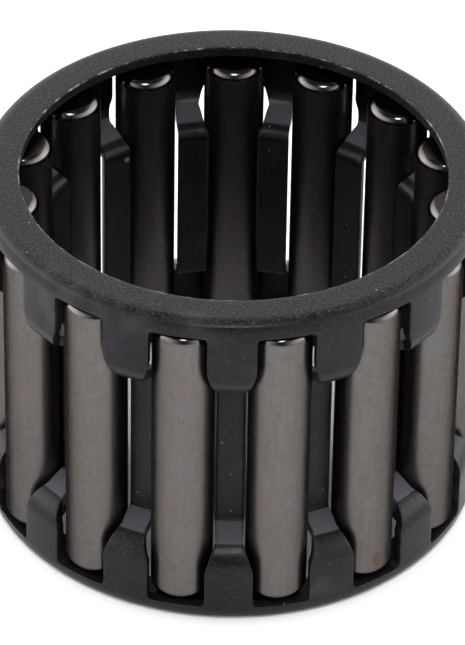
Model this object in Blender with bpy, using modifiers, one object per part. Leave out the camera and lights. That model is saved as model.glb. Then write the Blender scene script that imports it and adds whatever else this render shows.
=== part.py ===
"""Needle roller and cage assembly without rings: fifteen loose needle rollers in one M-section steel cage.

Metres, +Z up. The origin is on the bearing axis at the lower end face. The cage's tab between two
pockets faces -Y, and pockets are counted from there towards +X.
"""

import math

import bmesh
import bpy

MM = 0.001

# Driving dimensions of the bearing
INNER_CONTACT_DIAMETER = 25.0 * MM
OUTER_CONTACT_DIAMETER = 33.0 * MM
CAGE_WIDTH = 24.0 * MM
ROLLER_COUNT = 15

# Rollers
ROLLER_DIAMETER = (OUTER_CONTACT_DIAMETER - INNER_CONTACT_DIAMETER) / 2
PITCH_RADIUS = (OUTER_CONTACT_DIAMETER + INNER_CONTACT_DIAMETER) / 4
ROLLER_LENGTH = 21.2 * MM
ROLLER_LIFT = 0.1 * MM
ROLLER_END_RADIUS = 0.6 * MM
ROLLER_SIDES = 20

# Cage section, as a sheet bent in and out between the two end flanges. Plain radii are on the outer face.
SHEET = 0.7 * MM
CAGE_OUTER_RADIUS = 16.42 * MM
FLANGE_HOLE_RADIUS = 13.75 * MM
BAR_OUTER_RADIUS = 13.72 * MM
BEND_SLOPE = math.radians(26.0)
BAR_HALF_LENGTH = 5.4 * MM
MIDDLE_DROP = 0.2 * MM
SHOULDER_RADIUS = 0.95 * MM
TAB_BEND_RADIUS = 1.9 * MM
BAR_BEND_RADIUS = 0.3 * MM
SHOULDER_INSIDE_RADIUS = SHOULDER_RADIUS - SHEET
TAB_BEND_INSIDE_RADIUS = TAB_BEND_RADIUS - SHEET
BAR_BEND_INSIDE_RADIUS = BAR_BEND_RADIUS + SHEET
HOLE_EDGE_RADIUS = 0.12 * MM
CAGE_STEPS = 60

# Pockets, cut with straight walls. Lengths and widths are measured from the pocket's middle.
POCKET_HALF_LENGTH = 10.85 * MM
POCKET_CORNER_RADIUS = 0.3 * MM
TAB_HALF_WIDTH = 1.85 * MM
TAB_HALF_LENGTH = 8.1 * MM
NECK_HALF_WIDTH = 2.4 * MM
NECK_HALF_LENGTH = 6.2 * MM
BAR_HALF_WIDTH = 1.98 * MM
BAR_SIDE_HALF_LENGTH = 5.3 * MM
CUTTER_INNER_RADIUS = 11.5 * MM
CUTTER_OUTER_RADIUS = 18.0 * MM

# Flat stretches that stand for each round corner
WIDE_ARC_SEGMENTS = 3
NARROW_ARC_SEGMENTS = 2
EDGE_SEGMENTS = 1

PITCH_ANGLE = 2 * math.pi / ROLLER_COUNT
MID_HEIGHT = CAGE_WIDTH / 2
MERGE_DISTANCE = 1e-6
SHARP_ANGLE = math.radians(35)


def clear_scene():
    for obj in list(bpy.data.objects):
        bpy.data.objects.remove(obj, do_unlink=True)


def new_collection(name):
    collection = bpy.data.collections.new(name)
    bpy.context.scene.collection.children.link(collection)
    return collection


def new_material(name, colour, metallic, roughness):
    material = bpy.data.materials.new(name)
    material.use_nodes = True
    shader = material.node_tree.nodes["Principled BSDF"]
    shader.inputs["Base Color"].default_value = (*colour, 1.0)
    shader.inputs["Metallic"].default_value = metallic
    shader.inputs["Roughness"].default_value = roughness
    return material


def new_object(name, mesh, collection, material=None):
    obj = bpy.data.objects.new(name, mesh)
    collection.objects.link(obj)
    if material and not mesh.materials:
        mesh.materials.append(material)
    return obj


def corner_arc(before, corner, after, radius, segments):
    """Points of the arc of this radius that rounds one corner of an outline."""
    x, y = corner
    to_before = math.atan2(before[1] - y, before[0] - x)
    to_after = math.atan2(after[1] - y, after[0] - x)
    turn = (to_after - to_before + math.pi) % (2 * math.pi) - math.pi
    half = abs(turn) / 2
    middle = to_before + turn / 2
    centre_x = x + radius / math.sin(half) * math.cos(middle)
    centre_y = y + radius / math.sin(half) * math.sin(middle)
    sweep = math.copysign(math.pi - abs(turn), -turn)
    start = middle + math.pi - sweep / 2
    points = []
    for step in range(segments + 1):
        angle = start + sweep * step / segments
        points.append((centre_x + radius * math.cos(angle), centre_y + radius * math.sin(angle)))
    return points


def rounded_outline(corners):
    """Closed outline from (x, y, radius, segments) corners, each rounded by its own arc."""
    points = []
    for index, (x, y, radius, segments) in enumerate(corners):
        before = corners[index - 1][:2]
        after = corners[(index + 1) % len(corners)][:2]
        if radius:
            points += corner_arc(before, (x, y), after, radius, segments)
        else:
            points.append((x, y))
    return points


def turned_mesh(name, profile, closed):
    """Profile of (radius, height) points as a mesh of edges, ready for a Screw modifier."""
    mesh = bpy.data.meshes.new(name)
    edges = [(index, index + 1) for index in range(len(profile) - 1)]
    if closed:
        edges.append((len(profile) - 1, 0))
    mesh.from_pydata([(radius, 0.0, height) for radius, height in profile], edges, [])
    return mesh


def add_screw(obj, steps):
    screw = obj.modifiers.new("turn", "SCREW")
    screw.axis = "Z"
    screw.angle = 2 * math.pi
    screw.screw_offset = 0.0
    screw.steps = steps
    screw.render_steps = steps
    screw.use_merge_vertices = True
    screw.merge_threshold = MERGE_DISTANCE
    screw.use_smooth_shade = True


def bend_height(radius, offset):
    """Height above mid-width of the sloped stretch's face at this radius, offset through the sheet."""
    rise = (radius - BAR_OUTER_RADIUS) * math.tan(BEND_SLOPE)
    return BAR_HALF_LENGTH + rise + offset / math.cos(BEND_SLOPE)


def lowered(height):
    """Height above mid-width, with the bars and all four bends set a little below the middle of the width."""
    return height - MIDDLE_DROP if abs(height) <= TAB_HALF_LENGTH else height


def cage_profile():
    """Closed M-section: down the outer side, then back up the inner side."""
    tab_inner_radius = CAGE_OUTER_RADIUS - SHEET
    bar_inner_radius = BAR_OUTER_RADIUS - SHEET
    end = CAGE_WIDTH / 2
    outer_half = [
        (FLANGE_HOLE_RADIUS, end, HOLE_EDGE_RADIUS, EDGE_SEGMENTS),
        (CAGE_OUTER_RADIUS, end, SHOULDER_RADIUS, WIDE_ARC_SEGMENTS),
        (CAGE_OUTER_RADIUS, bend_height(CAGE_OUTER_RADIUS, 0.0), TAB_BEND_RADIUS, WIDE_ARC_SEGMENTS),
        (BAR_OUTER_RADIUS, bend_height(BAR_OUTER_RADIUS, 0.0), BAR_BEND_RADIUS, EDGE_SEGMENTS),
    ]
    inner_half = [
        (bar_inner_radius, bend_height(bar_inner_radius, SHEET), BAR_BEND_INSIDE_RADIUS, NARROW_ARC_SEGMENTS),
        (tab_inner_radius, bend_height(tab_inner_radius, SHEET), TAB_BEND_INSIDE_RADIUS, NARROW_ARC_SEGMENTS),
        (tab_inner_radius, end - SHEET, SHOULDER_INSIDE_RADIUS, EDGE_SEGMENTS),
        (FLANGE_HOLE_RADIUS, end - SHEET, 0.0, 0),
    ]
    down_outside = outer_half + [(x, -z, r, n) for x, z, r, n in reversed(outer_half)]
    up_inside = [(x, -z, r, n) for x, z, r, n in reversed(inner_half)] + inner_half
    corners = [(x, lowered(z), r, n) for x, z, r, n in down_outside + up_inside]
    return [(radius, height + MID_HEIGHT) for radius, height in rounded_outline(corners)]


def pocket_outline():
    """Closed outline (across, along) of one pocket: narrow between tabs, widest at the tabs' necks."""
    quarter = [
        (TAB_HALF_WIDTH, POCKET_HALF_LENGTH, POCKET_CORNER_RADIUS, NARROW_ARC_SEGMENTS),
        (TAB_HALF_WIDTH, TAB_HALF_LENGTH, 0.0, 0),
        (NECK_HALF_WIDTH, NECK_HALF_LENGTH, 0.0, 0),
        (BAR_HALF_WIDTH, BAR_SIDE_HALF_LENGTH, 0.0, 0),
    ]
    right = quarter + [(x, -z, r, n) for x, z, r, n in reversed(quarter)]
    left = [(-x, z, r, n) for x, z, r, n in reversed(right)]
    return rounded_outline(right + left)


def pocket_cutter_mesh():
    """The pocket's outline, extruded along -Y from inside the cage to outside it."""
    shape = bmesh.new()
    outline = shape.faces.new([shape.verts.new((x, -CUTTER_INNER_RADIUS, z)) for x, z in pocket_outline()])
    extruded = bmesh.ops.extrude_face_region(shape, geom=[outline])["geom"]
    moved = [item for item in extruded if isinstance(item, bmesh.types.BMVert)]
    bmesh.ops.translate(shape, verts=moved, vec=(0.0, CUTTER_INNER_RADIUS - CUTTER_OUTER_RADIUS, 0.0))
    bmesh.ops.recalc_face_normals(shape, faces=shape.faces)
    mesh = bpy.data.meshes.new("pocket_cutter")
    shape.to_mesh(mesh)
    shape.free()
    return mesh


def pocket_angle(index):
    """Turn from -Y towards +X of pocket and roller number index, counted from 1."""
    return (index - 0.5) * PITCH_ANGLE


def make_pocket_cutters(collection):
    mesh = pocket_cutter_mesh()
    for index in range(1, ROLLER_COUNT + 1):
        cutter = new_object(f"pocket_cutter_{index:02d}", mesh, collection)
        cutter.location.z = MID_HEIGHT
        cutter.rotation_euler.z = pocket_angle(index)
        cutter.hide_render = True
        cutter.display_type = "WIRE"


def make_cage(collection, cutters, material):
    mesh = turned_mesh("cage", cage_profile(), closed=True)
    cage = new_object("cage", mesh, collection, material)
    add_screw(cage, CAGE_STEPS)
    pockets = cage.modifiers.new("pockets", "BOOLEAN")
    pockets.operation = "DIFFERENCE"
    pockets.operand_type = "COLLECTION"
    pockets.collection = cutters
    pockets.solver = "EXACT"
    return cage


def roller_profile():
    """Half section from the top end's centre, out round the corner, and down to the bottom end's centre."""
    radius = ROLLER_DIAMETER / 2
    end = ROLLER_LENGTH / 2
    corner = corner_arc((0.0, end), (radius, end), (radius, 0.0), ROLLER_END_RADIUS, NARROW_ARC_SEGMENTS)
    top = [(0.0, end)] + corner
    return top + [(x, -z) for x, z in reversed(top)]


def roller_mesh(collection, material):
    """Turned roller with its screw evaluated, for every roller to share."""
    mesh = turned_mesh("roller_profile", roller_profile(), closed=False)
    source = new_object("roller_source", mesh, collection)
    add_screw(source, ROLLER_SIDES)
    graph = bpy.context.evaluated_depsgraph_get()
    turned = bpy.data.meshes.new_from_object(source.evaluated_get(graph))
    bpy.data.objects.remove(source, do_unlink=True)
    turned.name = "roller"
    turned.materials.clear()
    turned.materials.append(material)
    turned.shade_smooth()
    turned.set_sharp_from_angle(angle=SHARP_ANGLE)
    return turned


def make_rollers(collection, material):
    mesh = roller_mesh(collection, material)
    for index in range(1, ROLLER_COUNT + 1):
        angle = pocket_angle(index)
        roller = new_object(f"roller_{index:02d}", mesh, collection)
        roller.location.x = PITCH_RADIUS * math.sin(angle)
        roller.location.y = -PITCH_RADIUS * math.cos(angle)
        roller.location.z = MID_HEIGHT + ROLLER_LIFT
        roller.rotation_euler.z = angle


def main():
    clear_scene()
    bearing = new_collection("needle_roller_bearing")
    cutters = new_collection("cutters")
    cutters.hide_render = True
    black_steel = new_material("cage_black_steel", (0.050, 0.051, 0.056), 0.55, 0.48)
    ground_steel = new_material("roller_ground_steel", (0.47, 0.45, 0.43), 1.0, 0.30)
    make_pocket_cutters(cutters)
    make_cage(bearing, cutters, black_steel)
    make_rollers(bearing, ground_steel)


main()
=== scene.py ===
import math

import bmesh
import bpy
from mathutils import Matrix, Vector


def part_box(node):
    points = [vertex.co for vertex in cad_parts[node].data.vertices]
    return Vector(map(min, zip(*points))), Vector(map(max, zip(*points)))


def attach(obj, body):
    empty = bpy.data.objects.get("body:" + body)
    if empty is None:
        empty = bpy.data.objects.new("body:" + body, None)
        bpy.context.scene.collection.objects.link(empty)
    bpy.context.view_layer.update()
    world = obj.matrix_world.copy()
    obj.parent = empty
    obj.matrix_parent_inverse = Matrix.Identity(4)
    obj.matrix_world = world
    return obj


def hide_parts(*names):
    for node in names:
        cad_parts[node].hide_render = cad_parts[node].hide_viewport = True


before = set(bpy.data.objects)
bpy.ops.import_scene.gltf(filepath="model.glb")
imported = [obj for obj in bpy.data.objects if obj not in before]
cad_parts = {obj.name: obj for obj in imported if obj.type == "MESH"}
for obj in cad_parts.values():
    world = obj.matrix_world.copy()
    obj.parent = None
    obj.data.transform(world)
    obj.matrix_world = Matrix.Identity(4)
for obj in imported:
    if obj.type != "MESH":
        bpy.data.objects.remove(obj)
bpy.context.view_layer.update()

MM = 0.001

# Sizes read from the frame
CAGE_LOW, CAGE_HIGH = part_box("cage")
ROLLER_LOW, ROLLER_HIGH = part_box("roller_01")
ROLLER_NODES = sorted(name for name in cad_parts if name.startswith("roller_"))
ROLLER_COUNT = len(ROLLER_NODES)
PITCH = 2 * math.pi / ROLLER_COUNT
OUTER_RADIUS = CAGE_HIGH.x
WIDTH = CAGE_HIGH.z - CAGE_LOW.z
MID_HEIGHT = (CAGE_HIGH.z + CAGE_LOW.z) / 2
ROLLER_HALF = (ROLLER_HIGH.z - ROLLER_LOW.z) / 2

# Sizes shared with the CAD
ROLLER_RADIUS = 2.0 * MM
PITCH_RADIUS = 14.5 * MM

# Cage section. Radii are on the outer face, and bends are measured from mid-width. Each arc of the shoulder
# is (degrees left to turn at its end, radius).
SHEET = 0.7 * MM
HOLE_RADIUS = 13.75 * MM
BAR_OUTER_RADIUS = 13.72 * MM
BAR_HALF_LENGTH = 5.4 * MM
BEND_SLOPE = math.radians(26.0)
BEND_TURN = math.pi / 2 - BEND_SLOPE
SHOULDER_INSIDE_RADIUS = 0.25 * MM
SHOULDER_ARCS = ((52.4, 1.0 * MM), (20.0, 0.55 * MM), (0.0, 2.0 * MM))
TAB_BEND_RADIUS = 1.9 * MM
BAR_BEND_RADIUS = 0.12 * MM

# Pockets. Tab, neck and bar widths are those of the strip that is left between two pockets. The flare,
# where the strip narrows, is measured along the sheet from the tab's bend.
POCKET_END = 10.85 * MM
POCKET_CORNER_RADIUS = 0.3 * MM
TAB_HALF_WIDTH = 1.56 * MM
NECK_HALF_WIDTH = 0.82 * MM
BAR_HALF_WIDTH = 0.86 * MM
BAR_WALL_SPREAD = 0.165 * MM
FLARE_START = -0.2 * MM
FLARE_LENGTH = 2.45 * MM
FLARE_ROUNDING = 0.2 * MM
EDGE_BREAK = 0.05 * MM

# Bars and bends sit lower than the pockets by MIDDLE_SHIFT. It is whole up to SHIFT_FULL from mid-width
# and fades out by SHIFT_END.
MIDDLE_SHIFT = 0.2 * MM
SHIFT_FULL = 7.7 * MM
SHIFT_END = 10.4 * MM

# Roller ends
ROLLER_END_RADIUS = 0.6 * MM
FACE_EDGE_RADIUS = 0.08 * MM
FACE_EDGE_SLOPE = math.radians(12.0)

# Mesh density of the cage: rows along the section, then columns across a strip and across a pocket
FLANGE_ROWS = 5
SHOULDER_ARC_ROWS = 6
POCKET_CORNER_ROWS = 6
TAB_ROWS = 8
TAB_BEND_ROWS = 12
SLOPE_ROWS = 6
BAR_BEND_ROWS = 8
BAR_ROWS = 8
STRIP_COLUMNS = 10
GAP_COLUMNS = 10
BEVEL_SEGMENTS = 3
BEVEL_MIN_ANGLE = math.radians(50)

# Mesh density of a roller
ROLLER_COLUMNS = 96
ROLLER_SIDE_ROWS = 10
ROLLER_ARC_ROWS = 14
FACE_EDGE_ROWS = 4
FACE_RINGS = (0.0, 0.4, 0.8)

# Finishes. A noise is (scale per mm, detail, roughness), spots are (cells per mm, size in cells, share of
# the cells), and a fade is the two values between which a mask goes from 0 to 1. Blends are in mm.
# A spot's radius is from SPOT_LEAST to 1 + SPOT_LEAST times its size, and it is full within SPOT_CORE
# of its radius.
SPOT_LEAST = 0.4
SPOT_CORE = 0.4
TONE_FADE = (0.3, 0.7)

# Blackened steel of the cage
CAGE_DARK = (0.0030, 0.0032, 0.0042, 1.0)
CAGE_CLOUD = (0.0060, 0.0062, 0.0076, 1.0)
CAGE_SPECKLE = (0.040, 0.038, 0.0365, 1.0)
CAGE_PATCH = (0.036, 0.0355, 0.037, 1.0)
CAGE_SCRATCH = (0.03, 0.03, 0.033, 1.0)
# Painted light: a lighter, bluish colour on the lower slopes, standing in for the light they catch from
# above.
CAGE_SLOPE_PAINTED_LIGHT = (0.076, 0.0735, 0.0835, 1.0)
# Painted shade: near black in the crease at the bar's bend.
CAGE_CREASE_PAINTED_SHADE = (0.002, 0.002, 0.002, 1.0)
CAGE_BARE_METAL = (0.30, 0.30, 0.30, 1.0)
GRAIN_NOISE = (6.0, 3.0, 0.75)
CLOUD_NOISE = (0.35, 4.0, 0.6)
PATCH_NOISE = (0.16, 3.0, 0.65)
PATCH_FADE = (0.56, 0.72)
PATCH_SHARE = 0.5
SPECKLE_FADE = (0.48, 0.66)
SPECKLE_OFF_FLANGE = 0.32
SCRATCH_STRETCH = (0.5, 1.4, 5.5)
SCRATCH_NOISE = (1.5, 3.0, 0.6)
SCRATCH_FADE = (0.66, 0.72)
SCRATCH_SHARE = 0.35
SCRATCH_DEPTH = 0.15
RUBBED_NOISE = (1.1, 4.0, 0.7)
RUBBED_FADE = (0.47, 0.68)
NICKS = ((0.55, 0.10, 0.2), (1.7, 0.11, 0.14))
NICK_SHARE = 0.7
POCKET_EDGE_FADE = (0.5, 0.95)
POCKET_EDGE_SHARE = 0.05
EDGE_WEAR_SHARE = 0.8
WEAR_METALLIC = 0.7
CAGE_ROUGHNESS = (0.28, 0.38)
FLANGE_ROUGHNESS = 0.1
CAGE_SPECULAR = 0.165
CAGE_BUMP_DEPTH = 0.03 * MM
CAGE_BUMP_STRENGTH = 0.35

# Blends on the cage: inwards from the flange's face and from the tab, outwards from the bar and from the
# hole, by height from mid-width for the slopes, and by distance from the crease
FLANGE_BLEND = (0.25, 0.05)
SLOPE_START_BLEND = 0.25
SLOPE_END_BLEND = (1.0, 1.12)
SLOPE_HEIGHT_BLEND = (8.2, 7.6)
SLOPE_PAINTED_LIGHT_SHARE = 0.9
CREASE_BLEND = (0.13, 0.03)
CREASE_RADIUS_BLEND = (0.2, 0.1)
CREASE_SHADE_SHARE = 0.85
HOLE_RADIUS_BLEND = (0.13, 0.02)
HOLE_HEIGHT_BLEND = (0.12, 0.02)

# Ground steel of the rollers. Tones multiply the base colour, and blends run inwards from the end face.
ROLLER_BASE = (0.1258, 0.11433, 0.1073)
ROLLER_DARKEST = 0.86
ROLLER_LIGHTEST = 1.12
ROLLER_TONE_FADE = (0.35, 0.65)
ROLLER_SPREAD = 60.0
STREAK_STRETCH = (6.0, 6.0, 0.5)
STREAK_NOISE = (1.0, 4.0, 0.65)
STREAK_SHARE = 0.45
MOTTLE_NOISE = (2.2, 5.0, 0.7)
MOTTLE_SHARE = 0.55
ROLLER_CLOUD_STRETCH = (1.0, 1.0, 0.4)
ROLLER_CLOUD_NOISE = (0.45, 3.0, 0.55)
ROLLER_CLOUD_FADE = (0.35, 0.7)
ROLLER_CLOUD_SHARE = 0.3
ROLLER_CLOUD_TONE = 0.8
TINT_FADE = (0.5, 0.68)
TINT_SHARE = 0.6
COOL_NOISE = (0.6, 4.0, 0.6)
COOL_TONES = (0.95, 1.08, 1.14)
WARM_SHIFT = (7.0, 3.0, 11.0)
WARM_NOISE = (0.55, 4.0, 0.6)
WARM_TONES = (1.06, 0.97, 0.9)
DENTS = ((0.45, 0.085, 0.35), (1.1, 0.11, 0.12))
DENT_SHARE = 0.6
DENT_TONE = 0.45
ROLLER_CORNER_BLEND = (0.65, 0.45)
# Painted shade: the rounded corners of the roller ends are darkened to dim their highlights.
ROLLER_CORNER_SHADE_SHARE = 0.5
ROLLER_CORNER_PAINTED_SHADE = 0.55
ROLLER_CORNER_POLISH = 0.16
ROLLER_FACE_BLEND = (0.03, 0.01)
ROLLER_FACE_SHARE = 0.75
ROLLER_FACE_TONE = 0.25
ROLLER_FACE_ROUGHNESS = 0.12
ROLLER_ROUGHNESS = (0.28, 0.34)
ROLLER_GRAZING = (0.05, 0.05, 0.05, 1.0)
ROLLER_TONE_DEPTH = 0.02
ROLLER_BUMP_DEPTH = 0.006 * MM
ROLLER_BUMP_STRENGTH = 0.2

# Rust mark, placed in mm from its roller's middle
STAINED = ("roller_02",)
RUST = (0.10, 0.035, 0.014, 1.0)
RUST_METALLIC = 0.2
STAIN_SHARE = 0.9
STAIN_PLACE = (0.98, -1.74, -9.3)
STAIN_STRETCH = (1.0, 1.0, 0.4)
STAIN_REACH = (0.36, 0.16)
STAIN_NOISE = (2.4, 4.0, 0.7)
STAIN_FADE = (0.40, 0.52)

# Floor
FLOOR_SIZE = 2.0
FLOOR_TONES = ((0.90, 0.90, 0.90, 1.0), (0.92, 0.92, 0.92, 1.0))
FLOOR_NOISE = (0.01, 2.0, 0.55)
FLOOR_ROUGHNESS = 0.95

# Sky brightness by elevation in degrees, for each side. The front gives way to the back between two values
# of the direction's Y.
SKY_STRENGTH = 0.85
SKY_TINT = (0.985, 0.975, 1.0, 1.0)
SKY_BEHIND = ((0, 1.0), (12, 2.3), (42, 2.3), (52, 0.6), (60, 0.15), (90, 0.12))
SKY_FRONT = ((0, 0.25), (10, 0.12), (20, 0.10), (70, 0.10), (90, 0.12))
SKY_SIDES = ((0, 2.5), (12, 5.2), (42, 5.2), (54, 0.3), (62, 0.0), (90, 0.0))
SKY_FRONT_END = -0.35
SKY_BEHIND_START = 0.25

# Softbox over the camera: angles in degrees, and its brightness
SOFTBOX_ELEVATION = 60.0
SOFTBOX_HALF_ANGLE = 7.0
SOFTBOX_BLUR = 3.0
SOFTBOX_LEVEL = 28.0

# Camera, round the middle of the bearing
CAMERA_ELEVATION = math.radians(37.604)
CAMERA_AZIMUTH = math.radians(-0.3205)
CAMERA_PAN = math.radians(-0.0123)
CAMERA_TILT = math.radians(-0.0485)
CAMERA_ROLL = math.radians(0.9504)
CAMERA_DISTANCE = 332.49 * MM
CAMERA_LENS = 283.59
CAMERA_SENSOR = 36.0
CAMERA_CLIP = (0.01, 10.0)


# ---------------------------------------------------------------- cage section

def smooth_step(value):
    value = min(max(value, 0.0), 1.0)
    return value * value * (3 - 2 * value)


def arc_pair(outer_centre, outer_radius, inner_centre, inner_radius, start, end, steps):
    """Rows of (outer, inner) section points along two arcs that turn through the same angles."""
    rows = []
    for step in range(steps + 1):
        angle = start + (end - start) * step / steps
        away = (math.cos(angle), math.sin(angle))
        outer = tuple(c + outer_radius * a for c, a in zip(outer_centre, away))
        inner = tuple(c + inner_radius * a for c, a in zip(inner_centre, away))
        rows.append((outer, inner))
    return rows


def straight_rows(first, last, steps):
    """Rows between two rows, without either end."""
    rows = []
    for step in range(1, steps):
        share = step / steps
        pairs = []
        for a, b in zip(first, last):
            pairs.append((a[0] + (b[0] - a[0]) * share, a[1] + (b[1] - a[1]) * share))
        rows.append(tuple(pairs))
    return rows


def shoulder_rows():
    """Rows round the shoulder, whose outer face turns down through SHOULDER_ARCS."""
    place, angle = (0.0, 0.0), math.pi / 2
    turned = [(place, angle)]
    for end_degrees, radius in SHOULDER_ARCS:
        start, end = angle, math.radians(end_degrees)
        for step in range(1, SHOULDER_ARC_ROWS + 1):
            following = start + (end - start) * step / SHOULDER_ARC_ROWS
            place = (place[0] + radius * (math.cos(following) - math.cos(angle)),
                     place[1] + radius * (math.sin(following) - math.sin(angle)))
            angle = following
            turned.append((place, angle))
    inside = SHOULDER_INSIDE_RADIUS
    centre = (OUTER_RADIUS - SHEET - inside, WIDTH / 2 - SHEET - inside)
    flat_end = OUTER_RADIUS - place[0]
    rows = []
    for (across, drop), angle in turned:
        inner = (centre[0] + inside * math.cos(angle), centre[1] + inside * math.sin(angle))
        rows.append(((flat_end + across, WIDTH / 2 + drop), inner))
    return rows


def slope_height(radius, offset):
    """Height of the sloped stretch's face at this radius, offset through the sheet."""
    rise = (radius - BAR_OUTER_RADIUS) * math.tan(BEND_SLOPE)
    return BAR_HALF_LENGTH + rise + offset / math.cos(BEND_SLOPE)


def bend_rows():
    """Rows round the tab's bend and round the bar's bend."""
    tab_inner = OUTER_RADIUS - SHEET
    tab_inside_radius = TAB_BEND_RADIUS - SHEET
    tab_height = slope_height(OUTER_RADIUS, 0.0) + TAB_BEND_RADIUS * math.tan(BEND_TURN / 2)
    tab_inside_height = slope_height(tab_inner, SHEET) + tab_inside_radius * math.tan(BEND_TURN / 2)
    tab_bend = arc_pair(
        (OUTER_RADIUS - TAB_BEND_RADIUS, tab_height), TAB_BEND_RADIUS,
        (tab_inner - tab_inside_radius, tab_inside_height), tab_inside_radius,
        0.0, -BEND_TURN, TAB_BEND_ROWS,
    )
    bar_inner = BAR_OUTER_RADIUS - SHEET
    bar_inside_radius = BAR_BEND_RADIUS + SHEET
    bar_height = BAR_HALF_LENGTH - BAR_BEND_RADIUS * math.tan(BEND_TURN / 2)
    bar_inside_height = slope_height(bar_inner, SHEET) - bar_inside_radius * math.tan(BEND_TURN / 2)
    bar_bend = arc_pair(
        (BAR_OUTER_RADIUS + BAR_BEND_RADIUS, bar_height), -BAR_BEND_RADIUS,
        (bar_inner + bar_inside_radius, bar_inside_height), -bar_inside_radius,
        -BEND_TURN, 0.0, BAR_BEND_ROWS,
    )
    return tab_bend, bar_bend


def flare_rise(distance, start, end):
    """Area under a ramp that climbs from 0 at start to 1 at end, and stays there."""
    inside = min(max(distance - start, 0.0), end - start)
    return inside * inside / (2 * (end - start)) + max(distance - end, 0.0)


def strip_half_width(distance):
    """Half width of the strip on its outer face, by distance along the sheet from the tab's bend.

    The narrowing is rounded over FLARE_ROUNDING at its start and half of that at its end, so the whole of it
    is FLARE_LENGTH less three quarters of FLARE_ROUNDING."""
    flare_end = FLARE_START + FLARE_LENGTH
    narrowing = flare_rise(distance, FLARE_START, FLARE_START + FLARE_ROUNDING)
    narrowing -= flare_rise(distance, flare_end - FLARE_ROUNDING / 2, flare_end)
    share = narrowing / (FLARE_LENGTH - FLARE_ROUNDING * 3 / 4)
    neck = TAB_HALF_WIDTH + (NECK_HALF_WIDTH - TAB_HALF_WIDTH) * share
    slope_length = (OUTER_RADIUS - BAR_OUTER_RADIUS) / math.cos(BEND_SLOPE)
    bar_share = smooth_step((distance - flare_end) / (slope_length - flare_end))
    return neck + (BAR_HALF_WIDTH - NECK_HALF_WIDTH) * bar_share


def section():
    """Rows of (outer point, inner point, half width) from the upper flange's hole to the lower one's.

    Heights are from mid-width. The pockets are centred on it, and the bends are a little lower, so the
    strip narrows sooner above than below. Also gives the number of the row on which the pocket ends."""
    end = WIDTH / 2
    tab_inner = OUTER_RADIUS - SHEET
    hole = ((HOLE_RADIUS, end), (HOLE_RADIUS, end - SHEET))
    shoulder = shoulder_rows()
    rows = [hole] + straight_rows(hole, shoulder[0], FLANGE_ROWS) + shoulder
    pocket_row = len(rows)
    for step in range(POCKET_CORNER_ROWS + 1):
        angle = math.pi / 2 * step / POCKET_CORNER_ROWS
        height = POCKET_END - POCKET_CORNER_RADIUS * (1 - math.cos(angle))
        rows.append(((OUTER_RADIUS, height), (tab_inner, height)))
    tab_bend, bar_bend = bend_rows()
    rows += straight_rows(rows[-1], tab_bend[0], TAB_ROWS)
    bend_row = len(rows)
    rows += tab_bend + straight_rows(tab_bend[-1], bar_bend[0], SLOPE_ROWS) + bar_bend
    middle = ((BAR_OUTER_RADIUS, 0.0), (BAR_OUTER_RADIUS - SHEET, 0.0))
    rows += straight_rows(rows[-1], middle, BAR_ROWS) + [middle]
    distances = [0.0]
    for (first, _), (second, _) in zip(rows, rows[1:]):
        distances.append(distances[-1] + math.dist(first, second))
    from_bend = [distance - distances[bend_row] for distance in distances]
    upper = []
    lower = []
    for (outer, inner), distance in zip(rows, from_bend):
        upper.append((outer, inner, strip_half_width(distance + MIDDLE_SHIFT)))
        width = strip_half_width(distance - MIDDLE_SHIFT)
        lower.append(((outer[0], -outer[1]), (inner[0], -inner[1]), width))
    return upper + lower[-2::-1], pocket_row


def shifted(height):
    """Height above mid-width, with the bars and bends a little lower than the pockets' ends."""
    share = smooth_step((SHIFT_END - abs(height)) / (SHIFT_END - SHIFT_FULL))
    return height - MIDDLE_SHIFT * share


def strip_half_angle(outer_radius, radius, height, half_width):
    """Half the angle that the strip between two pockets fills.

    Beside the tabs its walls run straight in with the pocket, and beside the bars they spread inwards."""
    tab_share = max((outer_radius - BAR_OUTER_RADIUS) / (OUTER_RADIUS - BAR_OUTER_RADIUS), 0.0)
    straight = half_width + (radius - outer_radius) * math.tan(PITCH / 2)
    spread = half_width + BAR_WALL_SPREAD * (outer_radius - radius) / SHEET
    half_width = straight * tab_share + spread * (1 - tab_share)
    into_corner = max(height - POCKET_END + POCKET_CORNER_RADIUS, 0.0)
    into_corner = min(into_corner, POCKET_CORNER_RADIUS)
    half_width += POCKET_CORNER_RADIUS - math.sqrt(POCKET_CORNER_RADIUS ** 2 - into_corner ** 2)
    return math.asin(half_width / radius)


def column_turn(column, half_angle):
    """Angle of a column from the middle of its strip: first across the strip, then across the pocket."""
    if column <= STRIP_COLUMNS:
        return half_angle * (2 * column / STRIP_COLUMNS - 1)
    share = (column - STRIP_COLUMNS) / GAP_COLUMNS
    return half_angle + (PITCH - 2 * half_angle) * share


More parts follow.
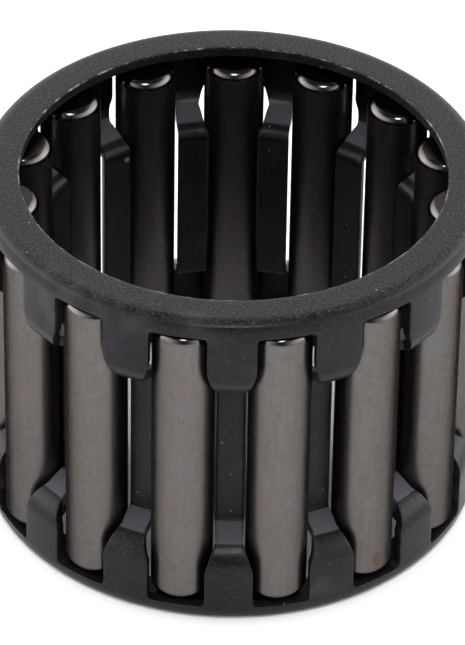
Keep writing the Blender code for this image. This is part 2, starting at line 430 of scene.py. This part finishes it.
def cage_mesh():
    """The whole cage as one closed grid of quads, finer than the CAD solid.

    The attribute "edge" is 1 along the sides of the pockets and 0 elsewhere."""
    rows, pocket_row = section()
    end_row = len(rows) - 1
    last_pocket_row = end_row - pocket_row
    columns = STRIP_COLUMNS + GAP_COLUMNS
    total = ROLLER_COUNT * columns
    shape = bmesh.new()
    edge = shape.verts.layers.float.new("edge")
    grid = {}
    for row, (outer, inner, half_width) in enumerate(rows):
        in_pocket = pocket_row < row < last_pocket_row
        for side, (radius, height) in enumerate((outer, inner)):
            half_angle = strip_half_angle(outer[0], radius, abs(height), half_width)
            level = shifted(height) + MID_HEIGHT
            for pocket in range(ROLLER_COUNT):
                for column in range(STRIP_COLUMNS + 1 if in_pocket else columns):
                    angle = pocket * PITCH + column_turn(column, half_angle)
                    vertex = shape.verts.new((radius * math.sin(angle), -radius * math.cos(angle), level))
                    vertex[edge] = 1.0 if in_pocket and column in (0, STRIP_COLUMNS) else 0.0
                    grid[row, side, pocket * columns + column] = vertex

    def quad(*places):
        """Face through four (row, side, column) places."""
        shape.faces.new([grid[row, side, column % total] for row, side, column in places])

    for row in range(end_row):
        below = row + 1
        in_pocket = pocket_row <= row < last_pocket_row
        for column in range(total):
            if in_pocket and column % columns >= STRIP_COLUMNS:
                continue
            beside = column + 1
            quad((row, 0, column), (below, 0, column), (below, 0, beside), (row, 0, beside))
            quad((row, 1, column), (row, 1, beside), (below, 1, beside), (below, 1, column))
        if in_pocket:
            for left in range(0, total, columns):
                right = left + STRIP_COLUMNS
                quad((row, 0, left), (row, 1, left), (below, 1, left), (below, 0, left))
                quad((row, 0, right), (below, 0, right), (below, 1, right), (row, 1, right))
    for column in range(total):
        beside = column + 1
        quad((0, 0, column), (0, 0, beside), (0, 1, beside), (0, 1, column))
        quad((end_row, 0, column), (end_row, 1, column), (end_row, 1, beside), (end_row, 0, beside))
        if column % columns >= STRIP_COLUMNS:
            first, last = pocket_row, last_pocket_row
            quad((first, 0, column), (first, 1, column), (first, 1, beside), (first, 0, beside))
            quad((last, 0, column), (last, 0, beside), (last, 1, beside), (last, 1, column))
    bmesh.ops.recalc_face_normals(shape, faces=shape.faces)
    mesh = bpy.data.meshes.new("cage_fine")
    shape.to_mesh(mesh)
    shape.free()
    mesh.shade_smooth()
    return mesh


def make_cage(material):
    cage = bpy.data.objects.new("cage_fine", cage_mesh())
    bpy.context.scene.collection.objects.link(cage)
    cage.data.materials.append(material)
    bevel = cage.modifiers.new("edge_break", "BEVEL")
    bevel.width = EDGE_BREAK
    bevel.segments = BEVEL_SEGMENTS
    bevel.limit_method = "ANGLE"
    bevel.angle_limit = BEVEL_MIN_ANGLE
    bevel.use_clamp_overlap = False
    normals = cage.modifiers.new("normals", "WEIGHTED_NORMAL")
    normals.keep_sharp = True
    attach(cage, "cage")
    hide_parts("cage")


# ---------------------------------------------------------------- rollers

def rounded_corner(corner, radius, first_angle, last_angle, steps):
    """Points of the arc that rounds a corner of a half section, between its two faces' normals."""
    middle = (first_angle + last_angle) / 2
    reach = radius / math.cos((first_angle - last_angle) / 2)
    centre = (corner[0] - reach * math.cos(middle), corner[1] - reach * math.sin(middle))
    points = []
    for step in range(steps + 1):
        angle = first_angle + (last_angle - first_angle) * step / steps
        points.append((centre[0] + radius * math.cos(angle), centre[1] + radius * math.sin(angle)))
    return points


def roller_profile():
    """Points (radius, height) from the middle of the upper end face to the middle of the lower one.

    A slight edge parts each flat end face from the arc that runs on to the side."""
    arc_start = math.pi / 2 - FACE_EDGE_SLOPE
    centre_radius = ROLLER_RADIUS - ROLLER_END_RADIUS
    centre_height = ROLLER_HALF - ROLLER_END_RADIUS * math.sin(arc_start)
    face_radius = centre_radius + ROLLER_END_RADIUS * math.cos(arc_start)
    face_edge = (face_radius, ROLLER_HALF)
    top = [(face_radius * ring, ROLLER_HALF) for ring in FACE_RINGS]
    top += rounded_corner(face_edge, FACE_EDGE_RADIUS, math.pi / 2, arc_start, FACE_EDGE_ROWS)
    for step in range(1, ROLLER_ARC_ROWS + 1):
        angle = arc_start * (1 - step / ROLLER_ARC_ROWS)
        radius = centre_radius + ROLLER_END_RADIUS * math.cos(angle)
        top.append((radius, centre_height + ROLLER_END_RADIUS * math.sin(angle)))
    side_top = top[-1][1]
    side = []
    for row in range(1, ROLLER_SIDE_ROWS):
        side.append((ROLLER_RADIUS, side_top * (1 - 2 * row / ROLLER_SIDE_ROWS)))
    return top + side + [(radius, -height) for radius, height in reversed(top)]


def roller_mesh():
    """The half section turned about Z. A ring of no radius is a single vertex."""
    shape = bmesh.new()
    rings = []
    for radius, height in roller_profile():
        ring = []
        for step in range(ROLLER_COLUMNS if radius else 1):
            angle = 2 * math.pi * step / ROLLER_COLUMNS
            ring.append(shape.verts.new((radius * math.cos(angle), radius * math.sin(angle), height)))
        rings.append(ring)
    for upper, lower in zip(rings, rings[1:]):
        for step in range(ROLLER_COLUMNS):
            following = (step + 1) % ROLLER_COLUMNS
            corners = [upper[step % len(upper)], lower[step % len(lower)]]
            if len(lower) > 1:
                corners.append(lower[following])
            if len(upper) > 1:
                corners.append(upper[following])
            shape.faces.new(corners)
    bmesh.ops.recalc_face_normals(shape, faces=shape.faces)
    mesh = bpy.data.meshes.new("roller_fine")
    shape.to_mesh(mesh)
    shape.free()
    mesh.shade_smooth()
    return mesh


def make_rollers(material, stained):
    """All the rollers on one mesh, apart from the stained ones, which share a copy."""
    mesh = roller_mesh()
    stained_mesh = mesh.copy()
    mesh.materials.append(material)
    stained_mesh.materials.append(stained)
    for name in ROLLER_NODES:
        low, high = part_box(name)
        index = int(name.split("_")[1])
        angle = (index - 0.5) * PITCH
        roller = bpy.data.objects.new(name + "_fine", stained_mesh if name in STAINED else mesh)
        bpy.context.scene.collection.objects.link(roller)
        roller.location.x = PITCH_RADIUS * math.sin(angle)
        roller.location.y = -PITCH_RADIUS * math.cos(angle)
        roller.location.z = (low.z + high.z) / 2
        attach(roller, name)
        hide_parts(name)


# ---------------------------------------------------------------- materials

class Nodes:
    """Short calls that add nodes to one tree. A value may be a number, a tuple or a socket."""

    def __init__(self, tree):
        self.tree = tree

    def feed(self, socket, value):
        if isinstance(value, bpy.types.NodeSocket):
            self.tree.links.new(value, socket)
        else:
            socket.default_value = value

    def add(self, kind, **settings):
        node = self.tree.nodes.new(kind)
        for name, value in settings.items():
            setattr(node, name, value)
        return node

    def fed(self, node, values):
        """The node, with its first inputs fed in order."""
        for socket, value in zip(node.inputs, values):
            self.feed(socket, value)
        return node

    def math(self, operation, *values):
        return self.fed(self.add("ShaderNodeMath", operation=operation), values).outputs[0]

    def times(self, first, second):
        return self.math("MULTIPLY", first, second)

    def plus(self, first, second):
        return self.math("ADD", first, second)

    def vector(self, operation, *values):
        return self.fed(self.add("ShaderNodeVectorMath", operation=operation), values).outputs["Vector"]

    def measure(self, operation, *values):
        """A vector operation that gives a number."""
        return self.fed(self.add("ShaderNodeVectorMath", operation=operation), values).outputs["Value"]

    def axes(self, place):
        return tuple(self.fed(self.add("ShaderNodeSeparateXYZ"), (place,)).outputs)

    def span(self, value, low, high, to_low=0.0, to_high=1.0):
        node = self.add("ShaderNodeMapRange", interpolation_type="SMOOTHSTEP")
        return self.fed(node, (value, low, high, to_low, to_high)).outputs[0]

    def noise(self, place, scale, detail, roughness):
        node = self.add("ShaderNodeTexNoise")
        self.feed(node.inputs["Vector"], place)
        node.inputs["Scale"].default_value = scale
        node.inputs["Detail"].default_value = detail
        node.inputs["Roughness"].default_value = roughness
        return node.outputs["Fac"]

    def specks(self, place, scale, size, share):
        """Small round spots of uneven size, in the given share of the cells."""
        node = self.add("ShaderNodeTexVoronoi")
        self.feed(node.inputs["Vector"], place)
        node.inputs["Scale"].default_value = scale
        parts = self.fed(self.add("ShaderNodeSeparateColor"), (node.outputs["Color"],)).outputs
        chosen = self.math("LESS_THAN", parts[0], share)
        radius = self.math("MULTIPLY_ADD", parts[1], size, size * SPOT_LEAST)
        spot = self.span(self.math("DIVIDE", node.outputs["Distance"], radius), 1.0, SPOT_CORE)
        return self.times(spot, chosen)

    def two_specks(self, place, sizes):
        first, second = sizes
        return self.math("MAXIMUM", self.specks(place, *first), self.specks(place, *second))

    def mix(self, share, first, second):
        node = self.add("ShaderNodeMix", data_type="RGBA")
        self.feed(node.inputs["Factor"], share)
        self.feed(node.inputs[6], first)
        self.feed(node.inputs[7], second)
        return node.outputs[2]

    def millimetres(self):
        """The place on the piece, in millimetres."""
        place = self.add("ShaderNodeTexCoord").outputs["Object"]
        return self.vector("MULTIPLY", place, (1 / MM, 1 / MM, 1 / MM))

    def bump(self, height, depth, strength):
        node = self.add("ShaderNodeBump")
        node.inputs["Strength"].default_value = strength
        node.inputs["Distance"].default_value = depth
        self.feed(node.inputs["Height"], height)
        return node.outputs["Normal"]


def new_material(name):
    material = bpy.data.materials.new(name)
    material.use_nodes = True
    return material, Nodes(material.node_tree), material.node_tree.nodes["Principled BSDF"]


def inwards(limit, blend):
    """The two values of a blend that is measured inwards from a limit."""
    return limit - blend[0], limit - blend[1]


def outwards(limit, blend):
    """The two values of a blend that is measured outwards from a limit."""
    return limit + blend[0], limit + blend[1]


def slope_painted_light_mask(nodes, radius, from_middle):
    """1 on the slopes between tab and bar, which get a painted light, and 0 elsewhere."""
    bar_radius = BAR_OUTER_RADIUS / MM
    off_bar = nodes.span(radius, bar_radius, bar_radius + SLOPE_START_BLEND)
    off_tab = nodes.span(radius, *inwards(OUTER_RADIUS / MM, SLOPE_END_BLEND))
    return nodes.times(nodes.times(off_bar, off_tab), nodes.span(from_middle, *SLOPE_HEIGHT_BLEND))


def crease_shade_mask(nodes, radius, height):
    """1 in the crease where the bar starts, which gets a painted shade, and 0 elsewhere."""
    from_middle = nodes.math("ABSOLUTE", nodes.math("SUBTRACT", height, (MID_HEIGHT - MIDDLE_SHIFT) / MM))
    from_crease = nodes.math("ABSOLUTE", nodes.math("SUBTRACT", from_middle, BAR_HALF_LENGTH / MM))
    near_bar = nodes.span(radius, *outwards(BAR_OUTER_RADIUS / MM, CREASE_RADIUS_BLEND))
    return nodes.times(nodes.span(from_crease, *CREASE_BLEND), near_bar)


def wear_mask(nodes, place, radius, from_middle):
    """Bare metal along the edges of the pockets and of the two holes, and in scattered nicks."""
    attribute = nodes.add("ShaderNodeAttribute", attribute_name="edge")
    pocket_edge = nodes.span(attribute.outputs["Fac"], *POCKET_EDGE_FADE)
    near_hole = nodes.span(radius, *outwards(HOLE_RADIUS / MM, HOLE_RADIUS_BLEND))
    near_face = nodes.span(from_middle, *inwards(WIDTH / MM / 2, HOLE_HEIGHT_BLEND))
    hole_edge = nodes.times(near_hole, near_face)
    edges = nodes.math("MAXIMUM", nodes.times(pocket_edge, POCKET_EDGE_SHARE), hole_edge)
    rubbed = nodes.span(nodes.noise(place, *RUBBED_NOISE), *RUBBED_FADE)
    worn = nodes.times(nodes.times(edges, rubbed), EDGE_WEAR_SHARE)
    nicks = nodes.times(nodes.two_specks(place, NICKS), NICK_SHARE)
    return nodes.math("MAXIMUM", worn, nicks)


def cage_material():
    """Blackened steel sheet: fine speckle, cloudy wear, thin scratches, bright nicks at the edges, painted
    light on the slopes and painted shade in the crease.
    """
    material, nodes, shader = new_material("cage_black_steel")
    place = nodes.millimetres()
    across, along, height = nodes.axes(place)
    radius = nodes.math("SQRT", nodes.plus(nodes.times(across, across), nodes.times(along, along)))
    from_middle = nodes.math("ABSOLUTE", nodes.math("SUBTRACT", height, MID_HEIGHT / MM))
    grain = nodes.noise(place, *GRAIN_NOISE)
    cloud = nodes.noise(place, *CLOUD_NOISE)
    patch = nodes.span(nodes.noise(place, *PATCH_NOISE), *PATCH_FADE)
    stretched = nodes.vector("MULTIPLY", place, SCRATCH_STRETCH)
    scratches = nodes.span(nodes.noise(stretched, *SCRATCH_NOISE), *SCRATCH_FADE)
    on_flange = nodes.span(from_middle, *inwards(WIDTH / MM / 2, FLANGE_BLEND))
    slope_painted_light = slope_painted_light_mask(nodes, radius, from_middle)
    crease = crease_shade_mask(nodes, radius, height)
    wear = wear_mask(nodes, place, radius, from_middle)

    colour = nodes.mix(nodes.span(cloud, *TONE_FADE), CAGE_DARK, CAGE_CLOUD)
    speckle_share = nodes.span(on_flange, 0.0, 1.0, SPECKLE_OFF_FLANGE, 1.0)
    speckle = nodes.times(nodes.span(grain, *SPECKLE_FADE), speckle_share)
    colour = nodes.mix(speckle, colour, CAGE_SPECKLE)
    colour = nodes.mix(nodes.times(patch, PATCH_SHARE), colour, CAGE_PATCH)
    colour = nodes.mix(nodes.times(scratches, SCRATCH_SHARE), colour, CAGE_SCRATCH)
    # Painted light: a lighter, bluish colour on the slopes between tab and bar.
    colour = nodes.mix(nodes.times(slope_painted_light, SLOPE_PAINTED_LIGHT_SHARE), colour, CAGE_SLOPE_PAINTED_LIGHT)
    colour = nodes.mix(wear, colour, CAGE_BARE_METAL)
    # Painted shade: the crease where the bar starts is darkened.
    colour = nodes.mix(nodes.times(crease, CREASE_SHADE_SHARE), colour, CAGE_CREASE_PAINTED_SHADE)
    nodes.feed(shader.inputs["Base Color"], colour)
    nodes.feed(shader.inputs["Metallic"], nodes.times(wear, WEAR_METALLIC))

    tone = nodes.plus(nodes.times(grain, 0.5), nodes.times(cloud, 0.5))
    roughness = nodes.span(tone, *TONE_FADE, *CAGE_ROUGHNESS)
    roughness = nodes.plus(roughness, nodes.times(on_flange, FLANGE_ROUGHNESS))
    nodes.feed(shader.inputs["Roughness"], roughness)
    shader.inputs["Specular IOR Level"].default_value = CAGE_SPECULAR
    relief = nodes.math("SUBTRACT", grain, nodes.times(scratches, SCRATCH_DEPTH))
    nodes.feed(shader.inputs["Normal"], nodes.bump(relief, CAGE_BUMP_DEPTH, CAGE_BUMP_STRENGTH))
    return material


def roller_tone(*factors):
    """The rollers' base colour times one factor, or times one for each channel."""
    if len(factors) == 1:
        factors = factors * len(ROLLER_BASE)
    return (*(channel * factor for channel, factor in zip(ROLLER_BASE, factors)), 1.0)


def rust_mask(nodes, local, share):
    """The rust mark, in the piece's own place."""
    away = nodes.vector("MULTIPLY", nodes.vector("SUBTRACT", local, STAIN_PLACE), STAIN_STRETCH)
    near = nodes.span(nodes.measure("LENGTH", away), *STAIN_REACH)
    return nodes.times(nodes.span(nodes.noise(local, *STAIN_NOISE), *STAIN_FADE, 0.0, share), near)


def roller_material(name, stain=0.0):
    """Ground steel: warm satin grey with a fine lengthways grain, clouds, tiny dents and painted shade on
    the corners of the ends.
    """
    material, nodes, shader = new_material(name)
    local = nodes.millimetres()
    random = nodes.add("ShaderNodeObjectInfo").outputs["Random"]
    place = nodes.vector("ADD", local, nodes.times(random, ROLLER_SPREAD))
    streaks = nodes.noise(nodes.vector("MULTIPLY", place, STREAK_STRETCH), *STREAK_NOISE)
    mottle = nodes.noise(place, *MOTTLE_NOISE)
    cloud = nodes.noise(nodes.vector("MULTIPLY", place, ROLLER_CLOUD_STRETCH), *ROLLER_CLOUD_NOISE)
    cool = nodes.noise(place, *COOL_NOISE)
    warm = nodes.noise(nodes.vector("ADD", place, WARM_SHIFT), *WARM_NOISE)
    dents = nodes.two_specks(place, DENTS)
    tone = nodes.plus(nodes.times(streaks, STREAK_SHARE), nodes.times(mottle, MOTTLE_SHARE))
    from_middle = nodes.math("ABSOLUTE", nodes.axes(local)[2])
    on_corner = nodes.span(from_middle, *inwards(ROLLER_HALF / MM, ROLLER_CORNER_BLEND))
    on_face = nodes.span(from_middle, *inwards(ROLLER_HALF / MM, ROLLER_FACE_BLEND))

    lightness = nodes.span(tone, *ROLLER_TONE_FADE)
    colour = nodes.mix(lightness, roller_tone(ROLLER_DARKEST), roller_tone(ROLLER_LIGHTEST))
    clouded = nodes.times(nodes.span(cloud, *ROLLER_CLOUD_FADE), ROLLER_CLOUD_SHARE)
    colour = nodes.mix(clouded, colour, roller_tone(ROLLER_CLOUD_TONE))
    colour = nodes.mix(nodes.span(cool, *TINT_FADE, 0.0, TINT_SHARE), colour, roller_tone(*COOL_TONES))
    colour = nodes.mix(nodes.span(warm, *TINT_FADE, 0.0, TINT_SHARE), colour, roller_tone(*WARM_TONES))
    colour = nodes.mix(nodes.times(dents, DENT_SHARE), colour, roller_tone(DENT_TONE))
    # Painted shade: darker colour on the rounded corners of the ends, which dims their highlights.
    colour = nodes.mix(nodes.times(on_corner, ROLLER_CORNER_SHADE_SHARE), colour, roller_tone(ROLLER_CORNER_PAINTED_SHADE))
    colour = nodes.mix(nodes.times(on_face, ROLLER_FACE_SHARE), colour, roller_tone(ROLLER_FACE_TONE))
    metallic = 1.0
    if stain:
        rust = rust_mask(nodes, local, stain)
        colour = nodes.mix(rust, colour, RUST)
        metallic = nodes.span(rust, 0.0, 1.0, 1.0, RUST_METALLIC)
    nodes.feed(shader.inputs["Base Color"], colour)
    nodes.feed(shader.inputs["Metallic"], metallic)

    roughness = nodes.span(tone, *TONE_FADE, *ROLLER_ROUGHNESS)
    roughness = nodes.math("SUBTRACT", roughness, nodes.times(on_corner, ROLLER_CORNER_POLISH))
    roughness = nodes.plus(roughness, nodes.times(on_face, ROLLER_FACE_ROUGHNESS))
    nodes.feed(shader.inputs["Roughness"], roughness)
    shader.inputs["Specular Tint"].default_value = ROLLER_GRAZING
    relief = nodes.math("SUBTRACT", nodes.times(tone, ROLLER_TONE_DEPTH), dents)
    nodes.feed(shader.inputs["Normal"], nodes.bump(relief, ROLLER_BUMP_DEPTH, ROLLER_BUMP_STRENGTH))
    return material


def floor_material():
    """Pale matt board with a very faint cloud in its tone."""
    material, nodes, shader = new_material("pale_floor")
    cloud = nodes.span(nodes.noise(nodes.millimetres(), *FLOOR_NOISE), *TONE_FADE)
    nodes.feed(shader.inputs["Base Color"], nodes.mix(cloud, *FLOOR_TONES))
    shader.inputs["Roughness"].default_value = FLOOR_ROUGHNESS
    shader.inputs["Specular IOR Level"].default_value = 0.0
    return material


# ---------------------------------------------------------------- floor, light and camera

def make_floor():
    bpy.ops.mesh.primitive_plane_add(size=FLOOR_SIZE, location=(0, 0, CAGE_LOW.z))
    floor = bpy.context.object
    floor.name = "floor"
    floor.data.materials.append(floor_material())


def sky_ramp(nodes, elevation, stops):
    """Brightness by elevation, from (degrees, brightness) stops."""
    highest = max(level for _, level in stops)
    node = nodes.add("ShaderNodeValToRGB")
    nodes.feed(node.inputs[0], elevation)
    elements = node.color_ramp.elements
    while len(elements) < len(stops):
        elements.new(0.5)
    for element, (degrees, level) in zip(elements, stops):
        element.position = degrees / 90
        element.color = (level / highest,) * 3 + (1.0,)
    return nodes.times(node.outputs["Color"], highest)


def softbox_level(nodes, direction):
    """Brightness of the softbox, by direction."""
    elevation = math.radians(SOFTBOX_ELEVATION)
    middle = (0.0, -math.cos(elevation), math.sin(elevation))
    edge = math.cos(math.radians(SOFTBOX_HALF_ANGLE + SOFTBOX_BLUR))
    full = math.cos(math.radians(SOFTBOX_HALF_ANGLE - SOFTBOX_BLUR))
    return nodes.span(nodes.measure("DOT_PRODUCT", direction, middle), edge, full, 0.0, SOFTBOX_LEVEL)


def make_world():
    """Soft studio light: a bright band low down behind and at the sides, and a softbox high over the
    camera, with the rest of the camera's side left dark."""
    world = bpy.data.worlds.new("studio")
    bpy.context.scene.world = world
    world.use_nodes = True
    nodes = Nodes(world.node_tree)
    direction = nodes.add("ShaderNodeTexCoord").outputs["Generated"]
    across, along, up = nodes.axes(direction)
    elevation = nodes.math("DIVIDE", nodes.math("ARCSINE", up), math.pi / 2)
    back_share = nodes.span(along, SKY_FRONT_END, SKY_BEHIND_START)
    behind = nodes.times(sky_ramp(nodes, elevation, SKY_BEHIND), back_share)
    front = nodes.times(sky_ramp(nodes, elevation, SKY_FRONT), nodes.math("SUBTRACT", 1.0, back_share))
    sides = nodes.times(sky_ramp(nodes, elevation, SKY_SIDES), nodes.times(across, across))
    sky = nodes.plus(nodes.plus(behind, front), sides)
    level = nodes.plus(sky, softbox_level(nodes, direction))
    background = world.node_tree.nodes["Background"]
    background.inputs["Color"].default_value = SKY_TINT
    nodes.feed(background.inputs["Strength"], nodes.times(level, SKY_STRENGTH))


def make_camera():
    data = bpy.data.cameras.new("camera")
    data.lens = CAMERA_LENS
    data.sensor_width = CAMERA_SENSOR
    camera = bpy.data.objects.new("camera", data)
    bpy.context.scene.collection.objects.link(camera)
    back = Vector((
        math.sin(CAMERA_AZIMUTH) * math.cos(CAMERA_ELEVATION),
        -math.cos(CAMERA_AZIMUTH) * math.cos(CAMERA_ELEVATION),
        math.sin(CAMERA_ELEVATION),
    ))
    aim = Vector((0, 0, MID_HEIGHT))
    camera.location = aim + back * CAMERA_DISTANCE
    facing = (-back).to_track_quat("-Z", "Y").to_matrix()
    facing @= Matrix.Rotation(CAMERA_PAN, 3, "Y")
    facing @= Matrix.Rotation(CAMERA_TILT, 3, "X")
    facing @= Matrix.Rotation(CAMERA_ROLL, 3, "Z")
    camera.rotation_euler = facing.to_euler()
    data.clip_start, data.clip_end = CAMERA_CLIP
    bpy.context.scene.camera = camera
    bpy.context.scene.view_settings.view_transform = "Standard"


make_floor()
make_world()
make_camera()
make_cage(cage_material())
make_rollers(roller_material("roller_ground_steel"), roller_material("roller_stained_steel", STAIN_SHARE))
